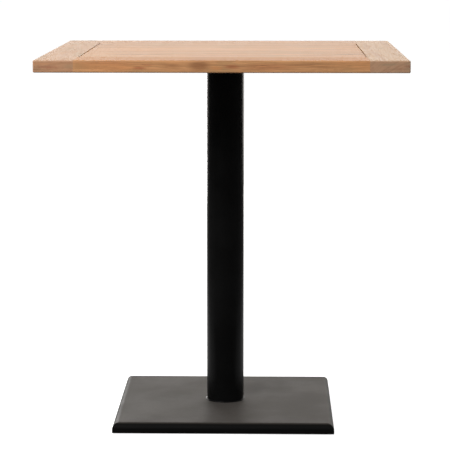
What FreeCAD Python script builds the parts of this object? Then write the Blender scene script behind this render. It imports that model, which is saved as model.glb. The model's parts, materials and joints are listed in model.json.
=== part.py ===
import FreeCAD, Part
import Sketcher
import os

# Square pedestal table: slatted hardwood top, round steel column, weighted square base.
# Millimetres. The origin is on the floor under the column, +Z is up, the front faces -Y.

SIZES = {
    # whole table
    "table_height": 744,
    "top_width": 700,
    "top_depth": 700,
    "top_thick": 23,
    # boards of the top
    "stile_width": 75,
    "rail_width": 103,
    "slat_count": 5,
    "end_gap": 2,
    "slat_seam": 0.4,
    "edge_round": 2.5,
    "arris": 0.6,
    # joints between the boards
    "tongue_thick": 7,
    "tongue_reach": 6,
    "groove_play": 0.2,
    "groove_spare": 0.6,
    "tenon_thick": 9,
    "tenon_width": 58,
    "tenon_reach": 40,
    "tenon_inset": 22,
    # steel spider under the top
    "arm_reach": 275,
    "arm_width": 40,
    "arm_thick": 5,
    "arm_tip_round": 8,
    "spider_radius": 48,
    "outer_screw_inset": 88,
    "screw_clear_radius": 2.6,
    "screw_radius": 2.25,
    "screw_bite": 14,
    "screw_tip": 3,
    "screw_head_radius": 4.5,
    "screw_slot_wide": 1,
    "screw_slot_long": 5,
    "screw_slot_deep": 1.2,
    # hub that joins the spider to the column
    "hub_flange": 3,
    "hub_spigot": 12,
    "hub_web": 6,
    "nut_pocket_radius": 15,
    # column and its tie rod
    "column_radius": 38,
    "column_wall": 2,
    "spigot_play": 0.2,
    "foot_ring_thick": 8,
    "rod_radius": 6,
    "rod_clear_radius": 6.5,
    "rod_overhang": 2.5,
    "rod_chamfer": 1,
    "nut_flats": 18,
    "nut_thick": 6,
    "nut_chamfer": 1,
    "washer_radius": 12,
    "washer_thick": 2.5,
    # base
    "rim_gap": 2,
    "base_side": 438,
    "base_rise": 20,
    "base_round": 13,
    "base_corner": 1.5,
    "cover_sheet": 2,
    "ballast_side": 430,
    "ballast_thick": 14,
    "ballast_round": 10,
    "ballast_corner": 5,
    "ballast_web": 7,
    "ballast_pocket_radius": 22,
    # levelling feet
    "foot_offset": 180,
    "pad_radius": 18,
    "pad_thick": 4,
    "pad_chamfer": 0.8,
    "socket_floor": 1.45,
    "socket_roof": 3.05,
    "socket_radius": 7.55,
    "foot_play": 0.05,
    "throat_radius": 4.55,
    "collar_flats": 14,
    "collar_low": 4.1,
    "collar_high": 5.9,
    "thread_radius": 4,
    "stud_top": 19.5,
}

# Heights above the floor, and the spacing of the slats
UNDERSIDE = "(Sizes.table_height - Sizes.top_thick)"
SPIDER_LOW = f"({UNDERSIDE} - Sizes.arm_thick)"
COLUMN_TOP = f"({SPIDER_LOW} - Sizes.hub_flange)"
BASE_TOP = "(Sizes.rim_gap + Sizes.base_rise)"
BALLAST_TOP = f"({BASE_TOP} - Sizes.cover_sheet)"
BALLAST_LOW = f"({BALLAST_TOP} - Sizes.ballast_thick)"
TOP_WASHER = f"({COLUMN_TOP} - Sizes.hub_spigot + Sizes.hub_web)"
TOP_NUT = f"({TOP_WASHER} + Sizes.washer_thick)"
BOTTOM_WASHER = f"({BALLAST_TOP} - Sizes.ballast_web - Sizes.washer_thick)"
BOTTOM_NUT = f"({BOTTOM_WASHER} - Sizes.nut_thick)"
PANEL_LENGTH = "(Sizes.top_width - 2 * Sizes.stile_width)"
PANEL_DEPTH = "(Sizes.top_depth - 2 * Sizes.rail_width)"
SLAT_PITCH = f"({PANEL_DEPTH} / Sizes.slat_count)"
MID_LOW = "(Sizes.top_thick / 2 - Sizes.tongue_thick / 2)"
GROOVE_LOW = f"({MID_LOW} - Sizes.groove_play / 2)"
GROOVE_THICK = "(Sizes.tongue_thick + Sizes.groove_play)"
GROOVE_DEEP = "(Sizes.tongue_reach + Sizes.groove_spare)"

# Distances of the spider's screws from the column's axis, along each of its four arms
SCREW_RADII = [SLAT_PITCH, f"(2 * {SLAT_PITCH})", "(Sizes.top_depth / 2 - Sizes.outer_screw_inset)"]

SLATS = range(1, int(SIZES["slat_count"]) + 1)
MIDDLE_SLAT = (int(SIZES["slat_count"]) + 1) // 2


# ---- shared building steps ----

def make_sheet(doc):
    sheet = doc.addObject("Spreadsheet::Sheet", "Sizes")
    for row, (alias, value) in enumerate(SIZES.items(), start=1):
        sheet.set(f"A{row}", alias)
        sheet.set(f"B{row}", str(value))
        sheet.setAlias(f"B{row}", alias)
    doc.recompute()


def number(doc, text):
    """The value of an expression, in millimetres."""
    return float(doc.Sizes.evalExpression(text))


def new_body(doc, label):
    body = doc.addObject("PartDesign::Body", label)
    body.Label = label
    return body


def origin_feature(body, role):
    return next(item for item in body.Origin.OriginFeatures if item.Role == role)


def bind(item, names, texts):
    for name, text in zip(names, texts):
        item.setExpression(name, text)


def place(body, x="0", y="0", z="0", turn=0):
    """Put a body in the table's frame, turned about Z by a number of degrees."""
    body.Placement.Rotation = FreeCAD.Rotation(FreeCAD.Vector(0, 0, 1), turn)
    bind(body, [".Placement.Base.x", ".Placement.Base.y", ".Placement.Base.z"], [x, y, z])
    return body


def block(body, kind, low, size):
    """An Additive or Subtractive box, from its low corner and its three sides."""
    box = body.newObject(f"PartDesign::{kind}Box", f"{kind}Box")
    bind(box, ["Length", "Width", "Height"], size)
    bind(box, [".Placement.Base.x", ".Placement.Base.y", ".Placement.Base.z"], low)
    return box


def drum(body, kind, radius, height, low=("0", "0", "0")):
    """An Additive or Subtractive upright cylinder, from the centre of its lower face."""
    cylinder = body.newObject(f"PartDesign::{kind}Cylinder", f"{kind}Cylinder")
    bind(cylinder, ["Radius", "Height"], [radius, height])
    bind(cylinder, [".Placement.Base.x", ".Placement.Base.y", ".Placement.Base.z"], low)
    return cylinder


def taper(body, kind, low_radius, high_radius, x, z, height=None):
    """An Additive or Subtractive upright cone. Without a height its side slopes at 45 degrees."""
    cone = body.newObject(f"PartDesign::{kind}Cone", f"{kind}Cone")
    bind(cone, ["Radius1", "Radius2", "Height"],
         [low_radius, high_radius, height or f"{low_radius} - {high_radius}"])
    bind(cone, [".Placement.Base.x", ".Placement.Base.z"], [x, z])
    return cone


def outline(body, role, corners):
    """A closed sketch of straight lines whose corners are bound to expressions."""
    doc = body.Document
    sketch = body.newObject("Sketcher::SketchObject", "Outline")
    sketch.AttachmentSupport = (origin_feature(body, role), [""])
    sketch.MapMode = "FlatFace"
    points = [FreeCAD.Vector(number(doc, a), number(doc, b), 0) for a, b in corners]
    for start, end in zip(points, points[1:] + points[:1]):
        sketch.addGeometry(Part.LineSegment(start, end), False)
    for line in range(len(points)):
        following = (line + 1) % len(points)
        sketch.addConstraint(Sketcher.Constraint("Coincident", line, 2, following, 1))
    for line, (texts, point) in enumerate(zip(corners, points)):
        pin_corner(sketch, line, "DistanceX", texts[0], point.x, -2)
        pin_corner(sketch, line, "DistanceY", texts[1], point.y, -1)
    return sketch


def pin_corner(sketch, line, kind, text, value, axis):
    """Hold a line's first point at a distance from an axis, or on the axis where it is 0."""
    if value == 0:
        sketch.addConstraint(Sketcher.Constraint("PointOnObject", line, 1, axis))
        return
    index = sketch.addConstraint(Sketcher.Constraint(kind, -1, 1, line, 1, value))
    sketch.setExpression(f"Constraints[{index}]", text)


def turned(doc, label, corners):
    """A body turned about Z from an outline of (radius, height) corners."""
    body = new_body(doc, label)
    sketch = outline(body, "XZ_Plane", corners)
    turn = body.newObject("PartDesign::Revolution", "Turn")
    turn.Profile = sketch
    turn.ReferenceAxis = (sketch, ["V_Axis"])
    turn.Angle = 360
    return body


def ring_corners(inner, outer, low, high):
    return [(inner, low), (outer, low), (outer, high), (inner, high)]


def hexagon(flats):
    """The corners of a hexagon, turned so that none lies on an axis."""
    reach = f"{flats} / 2 / cos(30 deg)"
    angles = [15 + 60 * corner for corner in range(6)]
    return [(f"{reach} * cos({angle} deg)", f"{reach} * sin({angle} deg)") for angle in angles]


def prism(body, corners, height, low):
    pad = body.newObject("PartDesign::Pad", "Prism")
    pad.Profile = outline(body, "XY_Plane", corners)
    bind(pad.Profile[0], [".AttachmentOffset.Base.z"], [low])
    pad.setExpression("Length", height)
    return pad


def around(body, features, count=4):
    """Repeat features about Z."""
    pattern = body.newObject("PartDesign::PolarPattern", "Around")
    pattern.Originals = features
    pattern.Axis = (origin_feature(body, "Z_Axis"), [""])
    pattern.Angle = 360
    pattern.Occurrences = count
    body.Tip = pattern
    return pattern


def round_over(body, chosen, radius):
    """Fillet the edges of the body so far whose bounding box passes a test."""
    body.Document.recompute()
    base = body.Tip
    edges = enumerate(base.Shape.Edges, start=1)
    names = [f"Edge{index}" for index, edge in edges if chosen(edge.BoundBox)]
    fillet = body.newObject("PartDesign::Fillet", "RoundOver")
    fillet.Base = (base, names)
    fillet.setExpression("Radius", radius)
    return fillet


def at(low, high, level):
    """True where an edge's span along one axis is the single given level."""
    return abs(low - level) < 1e-4 and abs(high - level) < 1e-4


def upright(box):
    return box.XLength < 1e-4 and box.YLength < 1e-4


# ---- the wooden top: each board lies with its underside at height 0 ----

def pilot_hole(body, x, y):
    low = (x, y, "0")
    drum(body, "Subtractive", "Sizes.screw_radius", "Sizes.screw_bite", low)


def stile(doc, label, side):
    """A board that runs front to back. Its outer edge is at x = 0, its inner edge at stile_width."""
    body = new_body(doc, label)
    thick = SIZES["top_thick"]
    half = SIZES["top_depth"] / 2
    block(body, "Additive", ("0", "-Sizes.top_depth / 2", "0"),
          ("Sizes.stile_width", "Sizes.top_depth", "Sizes.top_thick"))
    block(body, "Subtractive",
          (f"Sizes.stile_width - {GROOVE_DEEP}", f"-{PANEL_DEPTH} / 2", GROOVE_LOW),
          (GROOVE_DEEP, PANEL_DEPTH, GROOVE_THICK))
    mortise_x = "Sizes.stile_width - Sizes.tenon_reach"
    mortise_z = "(Sizes.top_thick - Sizes.tenon_thick) / 2"
    mortise_size = ("Sizes.tenon_reach", "Sizes.tenon_width", "Sizes.tenon_thick")
    front = "-Sizes.top_depth / 2 + Sizes.tenon_inset"
    back = "Sizes.top_depth / 2 - Sizes.tenon_inset - Sizes.tenon_width"
    for mortise_y in (front, back):
        block(body, "Subtractive", (mortise_x, mortise_y, mortise_z), mortise_size)

    def outer(box):
        level = at(box.ZMin, box.ZMax, 0) or at(box.ZMin, box.ZMax, thick)
        end = at(box.YMin, box.YMax, -half) or at(box.YMin, box.YMax, half)
        return at(box.XMin, box.XMax, 0) and (level or end) or level and end

    round_over(body, outer, "Sizes.edge_round")
    return place(body, x=f"{side} * Sizes.top_width / 2", z=UNDERSIDE, turn=0 if side < 0 else 180)


def rail(doc, label, side, joint):
    """A board that runs left to right. Its outer edge is at y = 0, its inner edge at rail_width."""
    body = new_body(doc, label)
    thick = SIZES["top_thick"]
    width = SIZES["rail_width"]
    tenoned = f"({PANEL_LENGTH} + 2 * Sizes.tenon_reach)"
    block(body, "Additive", (f"-{PANEL_LENGTH} / 2", "0", "0"),
          (PANEL_LENGTH, "Sizes.rail_width", "Sizes.top_thick"))
    block(body, "Additive",
          (f"-{tenoned} / 2", "Sizes.tenon_inset", "(Sizes.top_thick - Sizes.tenon_thick) / 2"),
          (tenoned, "Sizes.tenon_width", "Sizes.tenon_thick"))
    if joint == "groove":
        block(body, "Subtractive",
              (f"-{PANEL_LENGTH} / 2", f"Sizes.rail_width - {GROOVE_DEEP}", GROOVE_LOW),
              (PANEL_LENGTH, GROOVE_DEEP, GROOVE_THICK))
    else:
        block(body, "Additive", (f"-{PANEL_LENGTH} / 2", "Sizes.rail_width", MID_LOW),
              (PANEL_LENGTH, "Sizes.tongue_reach", "Sizes.tongue_thick"))
    pilot_hole(body, "0", "Sizes.outer_screw_inset")

    def outer(box):
        level = at(box.ZMin, box.ZMax, 0) or at(box.ZMin, box.ZMax, thick)
        return level and at(box.YMin, box.YMax, 0)

    def inner(box):
        return at(box.ZMin, box.ZMax, thick) and at(box.YMin, box.YMax, width)

    round_over(body, outer, "Sizes.edge_round")
    round_over(body, inner, "Sizes.arris")
    return place(body, y=f"{side} * Sizes.top_depth / 2", z=UNDERSIDE, turn=0 if side < 0 else 180)


def slat(doc, index):
    """A board of the panel, centred on x and y, with a tongue in front and a groove behind."""
    body = new_body(doc, f"slat_{index}")
    thick = SIZES["top_thick"]
    length = f"({PANEL_LENGTH} - 2 * Sizes.end_gap)"
    width = f"({SLAT_PITCH} - Sizes.slat_seam)"
    block(body, "Additive", (f"-{length} / 2", f"-{width} / 2", "0"),
          (length, width, "Sizes.top_thick"))
    block(body, "Subtractive", (f"-{length} / 2", f"{width} / 2 - {GROOVE_DEEP}", GROOVE_LOW),
          (length, GROOVE_DEEP, GROOVE_THICK))
    block(body, "Additive", (f"-{length} / 2", f"-{width} / 2 - Sizes.tongue_reach", MID_LOW),
          (length, "Sizes.tongue_reach", "Sizes.tongue_thick"))
    end_length = f"({PANEL_LENGTH} + 2 * Sizes.tongue_reach)"
    end_width = f"({width} - 3 * Sizes.tongue_reach)"
    block(body, "Additive", (f"-{end_length} / 2", f"-{end_width} / 2", MID_LOW),
          (end_length, end_width, "Sizes.tongue_thick"))
    if index == MIDDLE_SLAT:
        for radius in SCREW_RADII:
            pilot_hole(body, radius, "0")
            pilot_hole(body, f"-{radius}", "0")
    else:
        pilot_hole(body, "0", "0")
    round_over(body, lambda box: at(box.ZMin, box.ZMax, thick), "Sizes.arris")
    return place(body, y=f"({index} - (Sizes.slat_count + 1) / 2) * {SLAT_PITCH}", z=UNDERSIDE)


# ---- the steel spider and its screws ----

def spider_plate(doc):
    """A four-armed plate, cut from sheet, on a round centre with a hole for the rod's nut."""
    body = new_body(doc, "spider_plate")
    drum(body, "Additive", "Sizes.spider_radius", "Sizes.arm_thick")
    arm = block(body, "Additive", ("0", "-Sizes.arm_width / 2", "0"),
                ("Sizes.arm_reach", "Sizes.arm_width", "Sizes.arm_thick"))
    holes = []
    for radius in SCREW_RADII:
        holes.append(drum(body, "Subtractive", "Sizes.screw_clear_radius", "Sizes.arm_thick",
                          (radius, "0", "0")))
        holes.append(taper(body, "Subtractive", "Sizes.screw_head_radius",
                           "Sizes.screw_clear_radius", radius, "0"))
    around(body, [arm] + holes)

    def tip(box):
        return upright(box) and max(abs(box.XMin), abs(box.YMin)) > SIZES["arm_reach"] - 1

    round_over(body, tip, "Sizes.arm_tip_round")
    drum(body, "Subtractive", "Sizes.nut_pocket_radius", "Sizes.arm_thick")
    return place(body, z=SPIDER_LOW)


def spider_screws(doc):
    """Twelve countersunk screws, heads flush with the plate, one node of separate solids."""
    body = new_body(doc, "spider_screws")
    parts = []
    straight = "Sizes.arm_thick + Sizes.screw_bite - Sizes.screw_tip"
    for radius in SCREW_RADII:
        parts.append(drum(body, "Additive", "Sizes.screw_radius", straight, (radius, "0", "0")))
        parts.append(taper(body, "Additive", "Sizes.screw_head_radius", "Sizes.screw_radius",
                           radius, "0"))
        parts.append(taper(body, "Additive", "Sizes.screw_radius", "0", radius, straight,
                           "Sizes.screw_tip"))
        long, wide = "Sizes.screw_slot_long", "Sizes.screw_slot_wide"
        for size_x, size_y in ((long, wide), (wide, long)):
            slot_low = (f"{radius} - {size_x} / 2", f"-{size_y} / 2", "0")
            parts.append(block(body, "Subtractive", slot_low,
                               (size_x, size_y, "Sizes.screw_slot_deep")))
    around(body, parts)
    return place(body, z=SPIDER_LOW)


def spider_hub(doc):
    """A turned boss welded under the plate: its flange sits on the column, its spigot inside."""
    spigot = "Sizes.column_radius - Sizes.column_wall - Sizes.spigot_play"
    web_top = "-Sizes.hub_spigot + Sizes.hub_web"
    body = turned(doc, "spider_hub", [
        ("Sizes.rod_clear_radius", "-Sizes.hub_spigot"),
        (spigot, "-Sizes.hub_spigot"),
        (spigot, "0"),
        ("Sizes.column_radius", "0"),
        ("Sizes.column_radius", "Sizes.hub_flange"),
        ("Sizes.nut_pocket_radius", "Sizes.hub_flange"),
        ("Sizes.nut_pocket_radius", web_top),
        ("Sizes.rod_clear_radius", web_top),
    ])
    return place(body, z=COLUMN_TOP)


# ---- the column and the rod that clamps the table together ----

def column_tube(doc):
    inner = "Sizes.column_radius - Sizes.column_wall"
    length = f"{COLUMN_TOP} - {BASE_TOP}"
    body = turned(doc, "column_tube", ring_corners(inner, "Sizes.column_radius", "0", length))
    return place(body, z=BASE_TOP)


def column_foot_ring(doc):
    """A ring welded in the column's foot, which centres the tube on the rod."""
    outer = "Sizes.column_radius - Sizes.column_wall - Sizes.spigot_play"
    corners = ring_corners("Sizes.rod_clear_radius", outer, "0", "Sizes.foot_ring_thick")
    body = turned(doc, "column_foot_ring", corners)
    return place(body, z=BASE_TOP)


def tie_rod(doc):
    """A threaded rod from under the ballast to the hub, shown at its outer diameter."""
    top = f"({TOP_NUT} + Sizes.nut_thick + Sizes.rod_overhang - {BOTTOM_NUT} + Sizes.rod_overhang)"
    narrow = "Sizes.rod_radius - Sizes.rod_chamfer"
    body = turned(doc, "tie_rod", [
        ("0", "0"),
        (narrow, "0"),
        ("Sizes.rod_radius", "Sizes.rod_chamfer"),
        ("Sizes.rod_radius", f"{top} - Sizes.rod_chamfer"),
        (narrow, top),
        ("0", top),
    ])
    return place(body, z=f"{BOTTOM_NUT} - Sizes.rod_overhang")


def washer(doc, label, low):
    corners = ring_corners("Sizes.rod_clear_radius", "Sizes.washer_radius", "0",
                           "Sizes.washer_thick")
    return place(turned(doc, label, corners), z=low)


def thin_nut(doc, label, low):
    """A thin hexagon nut, its corners chamfered at both faces."""
    body = new_body(doc, label)
    prism(body, hexagon("Sizes.nut_flats"), "Sizes.nut_thick", "0")
    drum(body, "Subtractive", "Sizes.rod_radius", "Sizes.nut_thick")
    inner = "Sizes.nut_flats / 2"
    outer = "Sizes.nut_flats / 2 + 3 * Sizes.nut_chamfer"
    for face, inside in (("0", "Sizes.nut_chamfer"),
                         ("Sizes.nut_thick", "Sizes.nut_thick - Sizes.nut_chamfer")):
        groove = body.newObject("PartDesign::Groove", "CornerChamfer")
        groove.Profile = outline(body, "XZ_Plane", [(inner, face), (outer, face), (outer, inside)])
        groove.ReferenceAxis = (groove.Profile[0], ["V_Axis"])
        groove.Angle = 360
    return place(body, z=low)


# ---- the base ----

def square_plate(body, side, thick, corner, rounding):
    """A square plate centred on Z. The corner rounding, if any, comes last, over the mitres."""
    block(body, "Additive", (f"-{side} / 2", f"-{side} / 2", "0"), (side, side, thick))
    level = number(body.Document, thick)
    round_over(body, lambda box: at(box.ZMin, box.ZMax, level), rounding)
    if corner:
        round_over(body, upright, corner)


def base_cover(doc):
    """A pressed steel cover, open below, which hides the ballast."""
    cavity = new_body(doc, "cover_cavity")
    square_plate(cavity, "(Sizes.base_side - 2 * Sizes.cover_sheet)",
                 "(Sizes.base_rise - Sizes.cover_sheet)", None,
                 "(Sizes.base_round - Sizes.cover_sheet)")
    body = new_body(doc, "base_cover")
    square_plate(body, "Sizes.base_side", "Sizes.base_rise", "Sizes.base_corner", "Sizes.base_round")
    shell = body.newObject("PartDesign::Boolean", "Shell")
    shell.Type = "Cut"
    shell.Group = [cavity]
    drum(body, "Subtractive", "Sizes.rod_clear_radius", "Sizes.base_rise")
    return place(body, z="Sizes.rim_gap")


def base_ballast(doc):
    """A cast iron slab under the cover, with a pocket for the nut and four tapped foot holes."""
    body = new_body(doc, "base_ballast")
    square_plate(body, "Sizes.ballast_side", "Sizes.ballast_thick", "Sizes.ballast_corner",
                 "Sizes.ballast_round")
    drum(body, "Subtractive", "Sizes.rod_clear_radius", "Sizes.ballast_thick")
    drum(body, "Subtractive", "Sizes.ballast_pocket_radius",
         "Sizes.ballast_thick - Sizes.ballast_web")
    foot_hole = drum(body, "Subtractive", "Sizes.thread_radius + Sizes.foot_play",
                     "Sizes.ballast_thick", ("Sizes.foot_offset", "Sizes.foot_offset", "0"))
    around(body, [foot_hole])
    return place(body, z=BALLAST_LOW)


# ---- the levelling feet ----

def foot_pad(doc, label):
    """A nylon pad with an undercut socket in which the stud's disc turns."""
    rim = "Sizes.pad_radius - Sizes.pad_chamfer"
    return turned(doc, label, [
        ("0", "0"),
        (rim, "0"),
        ("Sizes.pad_radius", "Sizes.pad_chamfer"),
        ("Sizes.pad_radius", "Sizes.pad_thick - Sizes.pad_chamfer"),
        (rim, "Sizes.pad_thick"),
        ("Sizes.throat_radius", "Sizes.pad_thick"),
        ("Sizes.throat_radius", "Sizes.socket_roof"),
        ("Sizes.socket_radius", "Sizes.socket_roof"),
        ("Sizes.socket_radius", "Sizes.socket_floor"),
        ("0", "Sizes.socket_floor"),
    ])


def foot_stud(doc, label):
    """A threaded stud on a disc held in the pad, with a hexagon collar to turn it by."""
    disc = "Sizes.socket_radius - Sizes.foot_play"
    neck = "Sizes.throat_radius - Sizes.foot_play"
    disc_low = "Sizes.socket_floor + Sizes.foot_play"
    disc_high = "Sizes.socket_roof - Sizes.foot_play"
    body = turned(doc, label, [
        ("0", disc_low),
        (disc, disc_low),
        (disc, disc_high),
        (neck, disc_high),
        (neck, "Sizes.collar_low"),
        ("Sizes.thread_radius", "Sizes.collar_low"),
        ("Sizes.thread_radius", "Sizes.stud_top - Sizes.pad_chamfer"),
        ("Sizes.thread_radius - Sizes.pad_chamfer", "Sizes.stud_top"),
        ("0", "Sizes.stud_top"),
    ])
    prism(body, hexagon("Sizes.collar_flats"), "Sizes.collar_high - Sizes.collar_low",
          "Sizes.collar_low")
    return body


def feet(doc):
    """The four feet, each a pad and a stud, as eight bodies."""
    bodies = []
    for end, y_side in (("front", -1), ("back", 1)):
        for hand, x_side in (("left", -1), ("right", 1)):
            for make, piece in ((foot_pad, "pad"), (foot_stud, "stud")):
                body = make(doc, f"foot_{end}_{hand}_{piece}")
                x, y = f"{x_side} * Sizes.foot_offset", f"{y_side} * Sizes.foot_offset"
                bodies.append(place(body, x=x, y=y))
    return bodies


# ---- the whole table ----

def build(doc):
    make_sheet(doc)
    bodies = [
        stile(doc, "left_stile", -1),
        stile(doc, "right_stile", 1),
        rail(doc, "front_rail", -1, "groove"),
        rail(doc, "back_rail", 1, "tongue"),
        spider_plate(doc),
        spider_hub(doc),
        spider_screws(doc),
        column_tube(doc),
        column_foot_ring(doc),
        tie_rod(doc),
        washer(doc, "rod_top_washer", TOP_WASHER),
        thin_nut(doc, "rod_top_nut", TOP_NUT),
        washer(doc, "rod_bottom_washer", BOTTOM_WASHER),
        thin_nut(doc, "rod_bottom_nut", BOTTOM_NUT),
        base_cover(doc),
        base_ballast(doc),
    ]
    bodies += [slat(doc, index) for index in SLATS]
    bodies += feet(doc)
    doc.recompute()
    return bodies


def check(doc, bodies):
    for item in doc.Objects:
        if "Invalid" in item.State or "Error" in item.State:
            raise RuntimeError(f"{item.Label} failed: {item.State}")
    for body in bodies:
        if body.Shape.isNull() or not body.Shape.isValid():
            raise RuntimeError(f"{body.Label} has no valid shape")


def write(bodies):
    os.makedirs("parts", exist_ok=True)
    for body in bodies:
        body.Shape.exportStep(f"parts/{body.Label}.step")
        box = body.Shape.BoundBox
        print(f"{body.Label:24s} {len(body.Shape.Solids):2d} solids, {body.Shape.Volume:11.1f} mm3,"
              f" z {box.ZMin:.2f} to {box.ZMax:.2f}")


document = FreeCAD.newDocument("bistro_table")
sub_parts = build(document)
check(document, sub_parts)
write(sub_parts)
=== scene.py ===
import json
import math

import bmesh
import bpy
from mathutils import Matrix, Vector


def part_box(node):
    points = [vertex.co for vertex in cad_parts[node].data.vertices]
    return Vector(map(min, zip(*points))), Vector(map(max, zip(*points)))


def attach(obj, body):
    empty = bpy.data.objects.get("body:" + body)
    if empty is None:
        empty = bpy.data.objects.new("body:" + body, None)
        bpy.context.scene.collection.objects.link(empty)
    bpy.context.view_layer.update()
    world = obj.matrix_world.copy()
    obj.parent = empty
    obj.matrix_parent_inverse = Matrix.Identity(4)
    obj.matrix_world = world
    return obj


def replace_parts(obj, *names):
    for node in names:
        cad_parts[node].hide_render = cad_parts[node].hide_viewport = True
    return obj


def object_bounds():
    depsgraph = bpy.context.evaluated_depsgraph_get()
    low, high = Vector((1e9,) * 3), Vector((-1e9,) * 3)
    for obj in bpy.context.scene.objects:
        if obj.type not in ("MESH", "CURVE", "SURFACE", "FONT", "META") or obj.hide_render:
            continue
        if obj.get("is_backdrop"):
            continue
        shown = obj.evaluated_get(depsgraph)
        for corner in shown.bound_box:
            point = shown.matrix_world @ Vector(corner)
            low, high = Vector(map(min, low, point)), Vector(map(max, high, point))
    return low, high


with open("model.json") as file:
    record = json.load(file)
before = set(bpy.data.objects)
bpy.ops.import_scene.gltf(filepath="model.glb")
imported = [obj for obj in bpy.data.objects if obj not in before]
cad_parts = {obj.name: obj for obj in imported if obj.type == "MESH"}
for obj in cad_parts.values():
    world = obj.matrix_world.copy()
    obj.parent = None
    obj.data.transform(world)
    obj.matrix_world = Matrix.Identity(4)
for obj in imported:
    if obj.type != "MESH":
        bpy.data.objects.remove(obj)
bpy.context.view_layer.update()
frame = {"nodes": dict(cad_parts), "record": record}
nodes = frame["nodes"]

# Camera: a long lens a little above the table top, in front and just right of the middle
CAMERA_PLACE = (0.087, -4.0078, 0.9733)
CAMERA_PITCH = 0.1456
CAMERA_YAW = 0.0219
CAMERA_LENS_MM = 158.1
SENSOR_MM = 36.0

# Stage, in metres and linear light
FLOOR_HALF = 30.0
FLOOR_GLOW = 0.82
DOME_RADIUS = 0.98 * FLOOR_HALF
BOUNCE_HEIGHT = -0.0005
BOUNCE_COLOR = (0.16, 0.155, 0.15, 1)
AMBIENT = (0.22, 0.22, 0.225, 1)
SHINE_HALF = (0.9, 4.0)
SHINE_FRONT = -0.20
SHINE_HEIGHT = 0.0002
SHINE_GLOW = 0.9

# Small details: lengths in metres, and counts of steps, sides, ripples and rows in a pitch
BEAD_STEPS = 240
BEAD_SIDES = 12
SEAL_THICK = 0.0020
SEAL_RIPPLES = 5
WELD_THICK = 0.0022
WELD_RIPPLES = 72
THREAD_STEPS = 40
THREAD_ROWS = 8
# A groove's depth in pitches, and the slope and setback that leave its crest and root flat
THREAD_DEPTH = 0.61
THREAD_SLOPE = 1.25
THREAD_SETBACK = 0.12
ROD_PITCH = 0.00175
ROD_THREAD = 0.035
STUD_PITCH = 0.00125
STUD_RADIUS = 0.004
# A stud's disc and its hexagon collar: radius, and height above the stud's lowest point
STUD_DISC = [(0.0075, 0.0), (0.0075, 0.0015), (0.0045, 0.0015), (0.0045, 0.0028)]
STUD_COLLAR = [(0.0075, 0.0026), (0.00808, 0.0029), (0.00808, 0.0041), (0.0075, 0.0044)]
STUD_COLLAR_TURN = math.radians(15)
STUD_SIDES = 48


# ---- shader graphs ----

class Graph:
    """A material's node tree. add() makes a node; a socket given as an input is linked to it."""

    def __init__(self, name):
        self.material = bpy.data.materials.new(name)
        self.material.use_nodes = True
        self.tree = self.material.node_tree
        self.tree.nodes.clear()

    def add(self, kind, inputs=None, **settings):
        node = self.tree.nodes.new("ShaderNode" + kind)
        for name, value in settings.items():
            setattr(node, name, value)
        for name, value in (inputs or {}).items():
            self.feed(node.inputs[name], value)
        return node

    def feed(self, socket, value):
        if isinstance(value, bpy.types.NodeSocket):
            self.tree.links.new(value, socket)
        else:
            socket.default_value = value

    def math(self, operation, a, b=0.0):
        return self.add("Math", {0: a, 1: b}, operation=operation).outputs[0]

    def vector(self, operation, a, b):
        return self.add("VectorMath", {0: a, 1: b}, operation=operation).outputs[0]

    def length(self, vector):
        return self.add("VectorMath", {0: vector}, operation="LENGTH").outputs["Value"]

    def ramp(self, value, low, high, low_out=0.0, high_out=1.0):
        """A smooth step: low_out below low, high_out above high."""
        node = self.add("MapRange", {"Value": value, "From Min": low, "From Max": high,
                                     "To Min": low_out, "To Max": high_out},
                        interpolation_type="SMOOTHSTEP")
        return node.outputs[0]

    def noise(self, vector, scale, detail, roughness=0.5):
        node = self.add("TexNoise", {"Vector": vector, "Scale": scale, "Detail": detail,
                                     "Roughness": roughness})
        return node.outputs["Fac"]

    def mix(self, factor, a, b, blend="MIX"):
        node = self.add("Mix", data_type="RGBA", blend_type=blend, clamp_factor=True)
        self.feed(node.inputs["Factor"], factor)
        self.feed(node.inputs[6], a)
        self.feed(node.inputs[7], b)
        return node.outputs[2]

    def surface(self, inputs):
        shader = self.add("BsdfPrincipled", inputs)
        self.add("OutputMaterial", {"Surface": shader.outputs[0]})
        return self.material


def rgb(red, green, blue):
    return (red, green, blue, 1.0)


# ---- wood ----

# Colours of oiled teak in linear light: pale early wood, dark late wood, and the tints of streaks
PALE = rgb(0.61, 0.312, 0.134)
DARK = rgb(0.30, 0.138, 0.055)
RED = rgb(0.42, 0.150, 0.062)
OLIVE = rgb(0.44, 0.270, 0.120)
ORANGE = rgb(0.66, 0.290, 0.110)
UMBER = rgb(0.30, 0.125, 0.048)
AMBER = rgb(0.52, 0.240, 0.080)
PORE = rgb(0.12, 0.055, 0.025)
SILVER = rgb(0.40, 0.35, 0.34)

# How light each slat is, from the front one to the back one
SLAT_TONES = (1.02, 0.97, 1.05, 1.0, 0.96)

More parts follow.
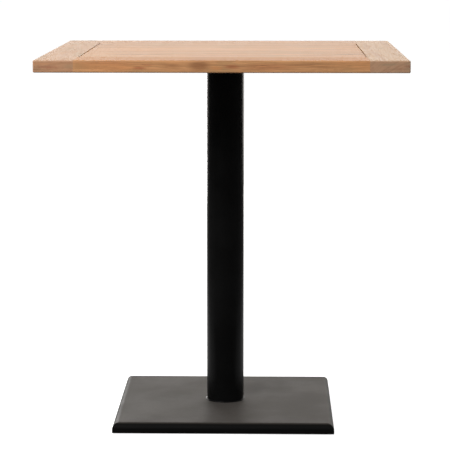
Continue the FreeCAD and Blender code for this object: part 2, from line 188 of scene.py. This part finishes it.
# Flecks and flames of the front rail's face, a band of painted light along its top edge and a pale
# patch of painted light at its left joint: place, reach along x and z, colour, strength
FRONT_FIGURE_AND_LIGHT = [
    # painted light: a warm band the length of the rail, along its rounded top edge
    ((0.0, 0.7455), (2.0, 0.004), AMBER, 0.65),
    ((-0.215, 0.732), (0.085, 0.012), ORANGE, 0.50),
    # painted light: a pale patch that lightens the shaded joint at the rail's left end
    ((-0.274, 0.733), (0.007, 0.020), PALE, 0.70),
    ((-0.220, 0.739), (0.080, 0.004), RED, 0.30),
    ((-0.175, 0.729), (0.030, 0.005), ORANGE, 0.55),
    ((-0.151, 0.729), (0.016, 0.004), RED, 0.80),
    ((-0.136, 0.734), (0.014, 0.003), RED, 0.40),
    ((-0.091, 0.732), (0.026, 0.008), UMBER, 0.40),
    ((-0.038, 0.733), (0.027, 0.013), UMBER, 0.75),
    ((-0.006, 0.729), (0.016, 0.005), ORANGE, 0.80),
    ((0.023, 0.732), (0.020, 0.006), RED, 0.75),
    ((0.085, 0.731), (0.070, 0.009), RED, 0.45),
    ((0.150, 0.7345), (0.034, 0.0025), UMBER, 0.50),
    ((0.183, 0.7320), (0.036, 0.0025), UMBER, 0.50),
    ((0.255, 0.736), (0.070, 0.012), ORANGE, 0.35),
]

# Streaks of the stiles' ends, in the same form; the low umber one on each end is painted shade
# along its lower edge
LEFT_END = [
    ((-0.335, 0.737), (0.040, 0.003), ORANGE, 0.50),
    ((-0.322, 0.731), (0.030, 0.003), RED, 0.55),
    # painted shade: a dark streak the width of the end, along its lower edge
    ((-0.340, 0.726), (0.030, 0.002), UMBER, 0.40),
    ((-0.281, 0.732), (0.014, 0.006), OLIVE, 0.50),
]
RIGHT_END = [
    ((0.305, 0.737), (0.025, 0.003), OLIVE, 0.60),
    ((0.342, 0.733), (0.012, 0.004), RED, 0.50),
    # painted shade: a dark streak the width of the end, along its lower edge
    ((0.325, 0.728), (0.035, 0.002), UMBER, 0.30),
]


def tinted(color, tint):
    return rgb(*(a * b for a, b in zip(color[:3], tint)))


def marked(g, color, place, marks, tint):
    """Lay listed soft-edged marks over a board's colour: streaks, and some painted light and
    shade.
    """
    for (x, z), (reach_x, reach_z), mark, strength in marks:
        away = g.vector("MULTIPLY", g.vector("SUBTRACT", place, (x, 0, z)),
                        (1 / reach_x, 0, 1 / reach_z))
        color = g.mix(g.ramp(g.length(away), 0.2, 1.1, strength, 0.0), color, tinted(mark, tint))
    return color


def teak(name, along, seed, heart, tint, ends=(0.92, 0.94, 0.97), red=0.35, figure=0.6,
         fine=1.0, worn=0.1, rough=0.45, level=0.5, marks=()):
    """Teak with its grain along x or y. heart is where the tree's heart lies, across the board.

    tint colours the whole board and ends its end grain; red, figure, fine and worn are the
    strengths of the red streaks, of the growth rings, of the fine grain and of the silvering of
    the rounded edges; rough and level set the gloss.
    """
    g = Graph(name)
    place = g.add("TexCoord")
    turn = (0, 0, math.pi / 2) if along == "y" else (0, 0, 0)
    seat = g.add("Mapping", {"Vector": place.outputs["Object"], "Rotation": turn,
                             "Location": (seed * 3.17, seed * 0.731, seed * 0.517)})
    grain = seat.outputs["Vector"]

    # the grain wanders by several millimetres over a hand's width
    bend_at = g.vector("MULTIPLY", grain, (2.2, 9.0, 9.0))
    bend = g.add("TexNoise", {"Vector": bend_at, "Scale": 1.0, "Detail": 2.0})
    offset = g.vector("SUBTRACT", bend.outputs["Color"], (0.5, 0.5, 0.5))
    shift = g.vector("MULTIPLY", offset, (0.0, 0.030, 0.030))
    bent = g.vector("ADD", grain, shift)

    # end grain is seen where the surface faces along the grain
    facing = g.add("SeparateXYZ", {"Vector": place.outputs["Normal"]})
    end = g.ramp(g.math("ABSOLUTE", facing.outputs["Y" if along == "y" else "X"]), 0.6, 0.95)

    # growth rings round a heart that lies off the board
    local = g.add("Mapping", {"Vector": place.outputs["Object"], "Rotation": turn})
    wander = g.vector("ADD", local.outputs["Vector"], shift)
    from_heart = g.vector("SUBTRACT", wander, (0.0, heart[0], heart[1]))
    across = g.vector("MULTIPLY", from_heart, (0.0, 1.0, 1.0))
    radius = g.length(across)
    bands = g.add("TexNoise", {"W": g.math("ADD", radius, seed), "Scale": 210.0, "Detail": 3.0,
                               "Roughness": 0.62}, noise_dimensions="1D").outputs["Fac"]
    rings = g.math("MULTIPLY", g.ramp(bands, 0.47, 0.74), g.ramp(end, 0.0, 1.0, figure, 0.3))

    # fibres, pores, streaks and patches
    fibre = g.noise(g.vector("MULTIPLY", bent, (9.0, 620.0, 620.0)), 1.0, 3.0, 0.6)
    fleck = g.noise(g.vector("MULTIPLY", bent, (22.0, 420.0, 420.0)), 1.0, 2.0, 0.6)
    pores = g.noise(g.vector("MULTIPLY", bent, (45.0, 1500.0, 1500.0)), 1.0, 1.0, 0.5)
    pore = g.ramp(pores, 0.62, 0.72)
    streak = g.noise(g.vector("MULTIPLY", bent, (1.6, 70.0, 70.0)), 1.0, 4.0, 0.6)
    patch = g.noise(g.vector("MULTIPLY", bent, (9.0, 30.0, 30.0)), 1.0, 3.0, 0.55)

    color = g.mix(rings, tinted(PALE, tint), tinted(DARK, tint))
    color = g.mix(g.ramp(streak, 0.48, 0.70, 0.0, red), color, tinted(RED, tint))
    color = g.mix(g.ramp(patch, 0.52, 0.72, 0.0, 0.5), color, tinted(OLIVE, tint))
    color = g.mix(g.ramp(patch, 0.28, 0.48, 0.4 * red, 0.0), color, tinted(ORANGE, tint))
    drift = g.vector("ADD", place.outputs["Object"], g.vector("MULTIPLY", offset, (0.03, 0, 0.01)))
    color = marked(g, color, drift, marks, tint)
    fibre_tone = g.ramp(fibre, 0.25, 0.75, 1 - 0.20 * fine, 1 + 0.14 * fine)
    fleck_tone = g.ramp(fleck, 0.35, 0.65, 1 - 0.10 * fine, 1 + 0.06 * fine)
    face = g.mix(1.0, color, fibre_tone, "MULTIPLY")
    face = g.mix(1.0, face, fleck_tone, "MULTIPLY")
    face = g.mix(g.math("MULTIPLY", pore, 0.38 * fine), face, PORE)

    # end grain drinks more oil, so it is greyer than the faces, and its pores are round
    dots = g.ramp(g.noise(grain, 1100.0, 2.0, 0.6), 0.58, 0.72, 0.0, 0.35)
    cut = g.mix(dots, g.mix(1.0, color, rgb(*ends), "MULTIPLY"), PORE)
    color = g.mix(end, face, cut)

    # rounded edges have silvered
    upright = g.math("ABSOLUTE", facing.outputs["Z"])
    flat = g.math("MAXIMUM", upright, g.math("ABSOLUTE", facing.outputs["X"]))
    flat = g.math("MAXIMUM", flat, g.math("ABSOLUTE", facing.outputs["Y"]))
    color = g.mix(g.ramp(flat, 0.88, 0.998, worn, 0.0), color, SILVER)

    gloss = g.ramp(fibre, 0.3, 0.7, rough - 0.06, rough + 0.08)
    relief = g.math("SUBTRACT", g.math("MULTIPLY", fibre, 0.6), g.math("MULTIPLY", pore, 0.8))
    bump = g.add("Bump", {"Height": relief, "Strength": 0.2, "Distance": 0.0001})
    return g.surface({"Base Color": color, "Roughness": gloss, "Normal": bump.outputs["Normal"],
                      "Specular IOR Level": level})


# ---- metals and plastic ----

# The tint of the haze that a fine-textured coat shows at a low angle, and of dust on its top,
# which also paints the top lighter and warmer as light at a low angle makes it
HAZE = rgb(1.0, 0.95, 0.88)
DUST_AND_SHEEN = rgb(0.036, 0.031, 0.027)


def powder_coat(name, color, rough, level, haze=0.0, dust_and_sheen=None):
    """Fine-textured black powder coat: small grain, faint cloudy change of gloss.

    haze is the weight of its low-angle sheen; the last argument colours its top: dust, and painted
    light that makes the top lighter and warmer than the sides.
    """
    g = Graph(name)
    coordinates = g.add("TexCoord")
    place = coordinates.outputs["Object"]
    grain = g.noise(place, 1500.0, 2.0, 0.6)
    cloud = g.noise(place, 9.0, 4.0, 0.6)
    tint = g.mix(g.ramp(cloud, 0.3, 0.7), color, rgb(*(1.5 * channel for channel in color[:3])))
    if dust_and_sheen:
        facing = g.add("SeparateXYZ", {"Vector": coordinates.outputs["Normal"]})
        # painted light: upward faces take the dust colour, which makes the top lighter and warmer
        # than the sides
        tint = g.mix(g.ramp(facing.outputs["Z"], 0.75, 1.0), tint, dust_and_sheen)
    gloss = g.math("ADD", g.ramp(cloud, 0.3, 0.7, rough - 0.05, rough + 0.05),
                   g.ramp(grain, 0.3, 0.7, -0.05, 0.05))
    bump = g.add("Bump", {"Height": grain, "Strength": 0.25, "Distance": 0.00015})
    return g.surface({"Base Color": tint, "Roughness": gloss, "Normal": bump.outputs["Normal"],
                      "Specular IOR Level": level, "Sheen Weight": haze,
                      "Sheen Roughness": 0.5, "Sheen Tint": HAZE})


def zinc(name):
    g = Graph(name)
    place = g.add("TexCoord").outputs["Object"]
    blotch = g.noise(place, 240.0, 3.0, 0.6)
    color = g.mix(g.ramp(blotch, 0.3, 0.7), rgb(0.50, 0.51, 0.53), rgb(0.68, 0.67, 0.62))
    gloss = g.ramp(blotch, 0.3, 0.7, 0.24, 0.42)
    bump = g.add("Bump", {"Height": blotch, "Strength": 0.15, "Distance": 0.0001})
    return g.surface({"Base Color": color, "Roughness": gloss, "Normal": bump.outputs["Normal"],
                      "Metallic": 1.0})


def cast_iron(name):
    g = Graph(name)
    place = g.add("TexCoord").outputs["Object"]
    sand = g.noise(place, 900.0, 3.0, 0.7)
    lump = g.noise(place, 60.0, 3.0, 0.6)
    color = g.mix(g.ramp(lump, 0.3, 0.7), rgb(0.018, 0.018, 0.019), rgb(0.045, 0.043, 0.040))
    height = g.math("ADD", g.math("MULTIPLY", sand, 0.4), lump)
    bump = g.add("Bump", {"Height": height, "Strength": 0.5, "Distance": 0.0006})
    return g.surface({"Base Color": color, "Roughness": g.ramp(sand, 0.3, 0.7, 0.6, 0.85),
                      "Normal": bump.outputs["Normal"]})


def nylon(name):
    g = Graph(name)
    place = g.add("TexCoord").outputs["Object"]
    grain = g.noise(place, 2200.0, 2.0, 0.5)
    scuff = g.noise(place, 300.0, 3.0, 0.6)
    color = g.mix(g.ramp(scuff, 0.5, 0.8), rgb(0.020, 0.020, 0.021), rgb(0.060, 0.058, 0.055))
    bump = g.add("Bump", {"Height": grain, "Strength": 0.2, "Distance": 0.0001})
    return g.surface({"Base Color": color, "Roughness": g.ramp(scuff, 0.3, 0.7, 0.42, 0.6),
                      "Normal": bump.outputs["Normal"]})


def dress(name, material):
    """Give a CAD node a finished material."""
    slots = nodes[name].data.materials
    slots.clear()
    slots.append(material)


def dress_wood():
    dress("left_stile", teak("teak_left_stile", "y", 1.0, (-0.30, 0.62), tint=(0.87, 0.95, 1.12),
                             ends=(0.93, 0.87, 0.90), figure=0.10, fine=0.45, marks=LEFT_END))
    dress("right_stile", teak("teak_right_stile", "y", 2.0, (0.37, 0.63), tint=(0.90, 1.05, 1.27),
                              ends=(0.92, 0.89, 1.00), figure=0.10, fine=0.45, marks=RIGHT_END))
    dress("front_rail", teak("teak_front_rail", "x", 3.0, (-0.30, 0.65), tint=(1.0, 0.97, 0.98),
                             red=0.8, figure=0.35, rough=0.48, level=0.3, worn=0.0,
                             marks=FRONT_FIGURE_AND_LIGHT))
    dress("back_rail", teak("teak_back_rail", "x", 4.0, (0.28, 0.66), tint=(0.96, 0.96, 0.96),
                            red=0.5, worn=0.5))
    # the slats' hearts lie well under them, a little to the front and to the back by turns
    slats = sorted(name for name in nodes if name.startswith("slat_"))
    for index, (name, tone) in enumerate(zip(slats, SLAT_TONES)):
        low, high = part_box(name)
        heart = ((low.y + high.y) / 2 + 0.03 * (-1) ** index, high.z - 0.10 - 0.01 * index)
        dress(name, teak("teak_" + name, "x", 5.0 + index, heart, tint=(tone, tone, tone)))


def dress_metal():
    # the base's upward faces get dust with painted light in it, lighter and warmer than its sides
    coat = powder_coat("powder_coat_base", rgb(0.001, 0.001, 0.001), rough=0.6, level=0.085,
                       haze=0.06, dust_and_sheen=DUST_AND_SHEEN)
    tube_coat = powder_coat("powder_coat_column", rgb(0.003, 0.003, 0.003), rough=0.3, level=0.07)
    primer = powder_coat("primer_black", rgb(0.012, 0.012, 0.012), rough=0.5, level=0.3)
    steel = zinc("zinc_plated_steel")
    iron = cast_iron("painted_cast_iron")
    plastic = nylon("moulded_nylon")
    by_slot = {"black_powder_coat": coat, "black_primer": primer, "zinc_steel": steel,
               "cast_iron": iron, "black_nylon": plastic}
    for part in frame["record"]["subparts"]:
        material = by_slot.get(part["material_slot"])
        if material:
            dress(part["node"], material)
    dress("column_tube", tube_coat)
    return tube_coat, primer, steel


# ---- pieces made here: weld, sealant and threads ----

def ring_points(axis, height, steps, reach, phase=0.0):
    """Points round an upright axis; reach gives the radius at each angle."""
    turns = [phase + 2 * math.pi * step / steps for step in range(steps)]
    return [(axis[0] + reach(turn) * math.cos(turn), axis[1] + reach(turn) * math.sin(turn),
             height) for turn in turns]


def skin(shape, rings, smooth=True, creased=False):
    """A closed surface through rings of points, flat at both ends."""
    loops = [[shape.verts.new(point) for point in ring] for ring in rings]
    sides = range(len(loops[0]))
    for below, above in zip(loops, loops[1:]):
        for side, after in zip(sides, (*sides[1:], 0)):
            face = shape.faces.new((below[side], below[after], above[after], above[side]))
            face.smooth = smooth
    if creased:
        for loop in loops:
            for side in sides:
                shape.edges.get((loop[side - 1], loop[side])).smooth = False
    shape.faces.new(loops[0][::-1])
    shape.faces.new(loops[-1])


def lathe(shape, axis, profile, steps, phase=0.0, smooth=True):
    """A closed surface turned about an upright axis, from (radius, height) corners."""
    skin(shape, [ring_points(axis, height, steps, lambda turn: radius, phase)
                 for radius, height in profile], smooth, creased=True)


def threaded(shape, axis, spans, radius, pitch):
    """A rod with a thread on the given spans of its height, chamfered at its two ends."""
    low, high = spans[0][0], spans[-1][1]
    depth = THREAD_DEPTH * pitch
    rings = []
    for start, end in spans:
        rows = round((end - start) / pitch * THREAD_ROWS)
        for row in range(rows + 1):
            height = start + (end - start) * row / rows
            # the groove runs out over one pitch where the thread stops short of the rod's end
            runout = min(height - start if start > low else pitch,
                         end - height if end < high else pitch)
            # chamfers at 45 degrees, from the thread's root
            widest = radius - depth + min(height - low, high - height)

            def reach(turn, height=height, cut=depth * min(1.0, runout / pitch), most=widest):
                along = (height / pitch - turn / (2 * math.pi)) % 1.0
                groove = THREAD_SLOPE * (1.0 - abs(2.0 * along - 1.0)) - THREAD_SETBACK
                return min(radius - cut * min(1.0, max(0.0, groove)), most)

            rings.append(ring_points(axis, height, THREAD_STEPS, reach))
    skin(shape, rings)


def new_piece(name, shape, material, body):
    """A finished piece of the visual model, which moves with the given body."""
    mesh = bpy.data.meshes.new(name)
    shape.to_mesh(mesh)
    shape.free()
    mesh.materials.append(material)
    piece = bpy.data.objects.new(name, mesh)
    bpy.context.scene.collection.objects.link(piece)
    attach(piece, body)
    return piece


def bead(name, radius, height, thick, ripples, material):
    """A ring of weld or sealant in the corner between the column and what it meets.

    It is uneven in thickness, as a bead laid by hand is.
    """
    shape = bmesh.new()
    rings = []
    for step in range(BEAD_STEPS):
        turn = 2 * math.pi * step / BEAD_STEPS
        swell = 1.0 + 0.10 * math.sin(ripples * turn) + 0.12 * math.sin(3 * turn + 1.0)
        swell += 0.08 * math.sin(7 * turn)
        ring = []
        for side in range(BEAD_SIDES):
            roll = 2 * math.pi * side / BEAD_SIDES
            out = radius + thick * swell * math.cos(roll)
            ring.append(shape.verts.new((out * math.cos(turn), out * math.sin(turn),
                                         height + thick * swell * math.sin(roll))))
        rings.append(ring)
    for step, ring in enumerate(rings):
        after = rings[(step + 1) % BEAD_STEPS]
        for side in range(BEAD_SIDES):
            other = (side + 1) % BEAD_SIDES
            shape.faces.new((ring[side], after[side], after[other], ring[other])).smooth = True
    new_piece(name, shape, material, "table")


def make_beads(coat, primer):
    low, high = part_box("column_tube")
    plate_low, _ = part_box("spider_plate")
    bead("foot_seal", high.x, low.z, SEAL_THICK, SEAL_RIPPLES, coat)
    bead("hub_weld", high.x, plate_low.z, WELD_THICK, WELD_RIPPLES, primer)


def make_threads(steel):
    """The tie rod and the feet's studs, which the CAD model shows at their outer diameter."""
    low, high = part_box("tie_rod")
    shape = bmesh.new()
    spans = [(low.z, low.z + ROD_THREAD), (high.z - ROD_THREAD, high.z)]
    threaded(shape, (0.0, 0.0), spans, high.x, ROD_PITCH)
    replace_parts(new_piece("tie_rod_threaded", shape, steel, "table"), "tie_rod")
    for name in sorted(nodes):
        if name.endswith("_stud"):
            low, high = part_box(name)
            axis = ((low.x + high.x) / 2, (low.y + high.y) / 2)
            shape = bmesh.new()
            lathe(shape, axis, [(r, low.z + z) for r, z in STUD_DISC], STUD_SIDES)
            lathe(shape, axis, [(r, low.z + z) for r, z in STUD_COLLAR], 6, STUD_COLLAR_TURN,
                  smooth=False)
            threaded(shape, axis, [(low.z + STUD_COLLAR[0][1], high.z)], STUD_RADIUS, STUD_PITCH)
            piece = new_piece(name + "_threaded", shape, steel, name.removeprefix("foot_"))
            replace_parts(piece, name)


# ---- stage ----

def flat_square(name, half, height, material):
    mesh = bpy.data.meshes.new(name)
    shape = bmesh.new()
    bmesh.ops.create_grid(shape, x_segments=8, y_segments=8, size=half)
    bmesh.ops.translate(shape, verts=shape.verts, vec=(0.0, 0.0, height))
    shape.to_mesh(mesh)
    shape.free()
    square = bpy.data.objects.new(name, mesh)
    bpy.context.scene.collection.objects.link(square)
    mesh.materials.append(material)
    square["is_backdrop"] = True
    return square


def seen_only(item):
    """Part of the view, but no part of the light."""
    item.visible_diffuse = False
    item.visible_glossy = False
    item.visible_transmission = False
    item.visible_shadow = False


def floor_paint(name, color, glow):
    """Matt paint. Seen from below it is clear, so the underside can be looked at."""
    g = Graph(name)
    place = g.add("TexCoord").outputs["Object"]
    tint = g.mix(g.noise(place, 1.5, 2.0), color, rgb(*(0.97 * channel for channel in color[:3])))
    paint = g.add("BsdfDiffuse", {"Color": tint})
    glowing = g.add("Emission", {"Strength": glow})
    top = g.add("AddShader", {0: paint.outputs[0], 1: glowing.outputs[0]})
    clear = g.add("BsdfTransparent")
    below = g.add("NewGeometry").outputs["Backfacing"]
    both = g.add("MixShader", {0: below, 1: top.outputs[0], 2: clear.outputs[0]})
    g.add("OutputMaterial", {"Surface": both.outputs[0]})
    return g.material


def make_floor():
    """A white floor for the camera, and a grey one just under it for the light."""
    white = floor_paint("floor_white", rgb(0.9, 0.9, 0.9), FLOOR_GLOW)
    seen_only(flat_square("floor", FLOOR_HALF, 0.0, white))
    grey = floor_paint("floor_grey", BOUNCE_COLOR, 0.0)
    bounce = flat_square("floor_bounce", FLOOR_HALF, BOUNCE_HEIGHT, grey)
    bounce.visible_camera = False


def make_shine():
    """A lit floor under and behind the table, which shows only as a gleam on its edges."""
    paint = floor_paint("floor_gleam", rgb(0, 0, 0), SHINE_GLOW)
    shine = flat_square("floor_shine", 1.0, SHINE_HEIGHT, paint)
    shine.scale.x, shine.scale.y = SHINE_HALF
    shine.location.y = SHINE_FRONT + SHINE_HALF[1]
    shine.visible_camera = False
    shine.visible_diffuse = False
    shine.visible_transmission = False
    shine.visible_shadow = False


def make_backdrop():
    """A white dome that only the camera sees."""
    mesh = bpy.data.meshes.new("backdrop")
    shape = bmesh.new()
    bmesh.ops.create_uvsphere(shape, u_segments=32, v_segments=16, radius=DOME_RADIUS)
    shape.to_mesh(mesh)
    shape.free()
    g = Graph("backdrop_white")
    g.add("OutputMaterial", {"Surface": g.add("Emission", {"Strength": 1.0}).outputs[0]})
    mesh.materials.append(g.material)
    dome = bpy.data.objects.new("backdrop", mesh)
    bpy.context.scene.collection.objects.link(dome)
    dome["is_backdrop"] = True
    seen_only(dome)


def make_world():
    world = bpy.data.worlds.new("studio")
    bpy.context.scene.world = world
    world.use_nodes = True
    background = world.node_tree.nodes["Background"]
    background.inputs["Color"].default_value = AMBIENT
    background.inputs["Strength"].default_value = 1.0


def softbox(name, place, target, size, glow, color=(1.0, 1.0, 1.0), gleams=True):
    """A rectangular lamp of a given brightness, in the same units as the floor's glow.

    It shows in reflections only if gleams is true.
    """
    light = bpy.data.lights.new(name, "AREA")
    light.shape = "RECTANGLE"
    light.size, light.size_y = size
    light.color = color
    light.energy = glow * math.pi * size[0] * size[1]
    lamp = bpy.data.objects.new(name, light)
    bpy.context.scene.collection.objects.link(lamp)
    lamp.location = place
    lamp.rotation_euler = (Vector(target) - Vector(place)).to_track_quat("-Z", "Y").to_euler()
    lamp.visible_camera = False
    lamp.visible_glossy = gleams


def make_lights():
    low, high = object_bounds()
    top = (0.0, 0.0, high.z)
    middle = (low + high) / 2
    softbox("overhead", (0.0, 0.4, high.z + 1.8), top, (2.4, 2.4), 1.0)
    softbox("key", (-1.6, -2.2, high.z + 1.5), top, (1.8, 1.4), 10.5)
    softbox("back", (0.0, 3.6, 0.9), middle, (7.0, 1.8), 2.4, color=(1.0, 0.96, 0.91))
    # a low lamp behind the table, for the gleam along the base's left edge
    softbox("gleam", (-0.9, 3.0, 0.34), (-0.2, 0.0, 0.1), (0.46, 0.62), 13.0)
    softbox("left", (-2.6, 0.6, 0.7), middle, (2.4, 1.4), 1.6, gleams=False)
    softbox("right", (2.8, 0.2, 1.0), middle, (2.4, 1.4), 2.6, gleams=False)


def make_camera():
    camera = bpy.data.cameras.new("camera")
    camera.lens = CAMERA_LENS_MM
    camera.sensor_width = SENSOR_MM
    viewer = bpy.data.objects.new("camera", camera)
    bpy.context.scene.collection.objects.link(viewer)
    viewer.location = CAMERA_PLACE
    viewer.rotation_euler = (math.pi / 2 - CAMERA_PITCH, 0.0, CAMERA_YAW)
    bpy.context.scene.camera = viewer


make_camera()
make_floor()
make_shine()
make_backdrop()
make_world()
make_lights()
dress_wood()
tube_coat, primer, steel = dress_metal()
make_beads(tube_coat, primer)
make_threads(steel)

bpy.context.scene.view_settings.view_transform = "Standard"
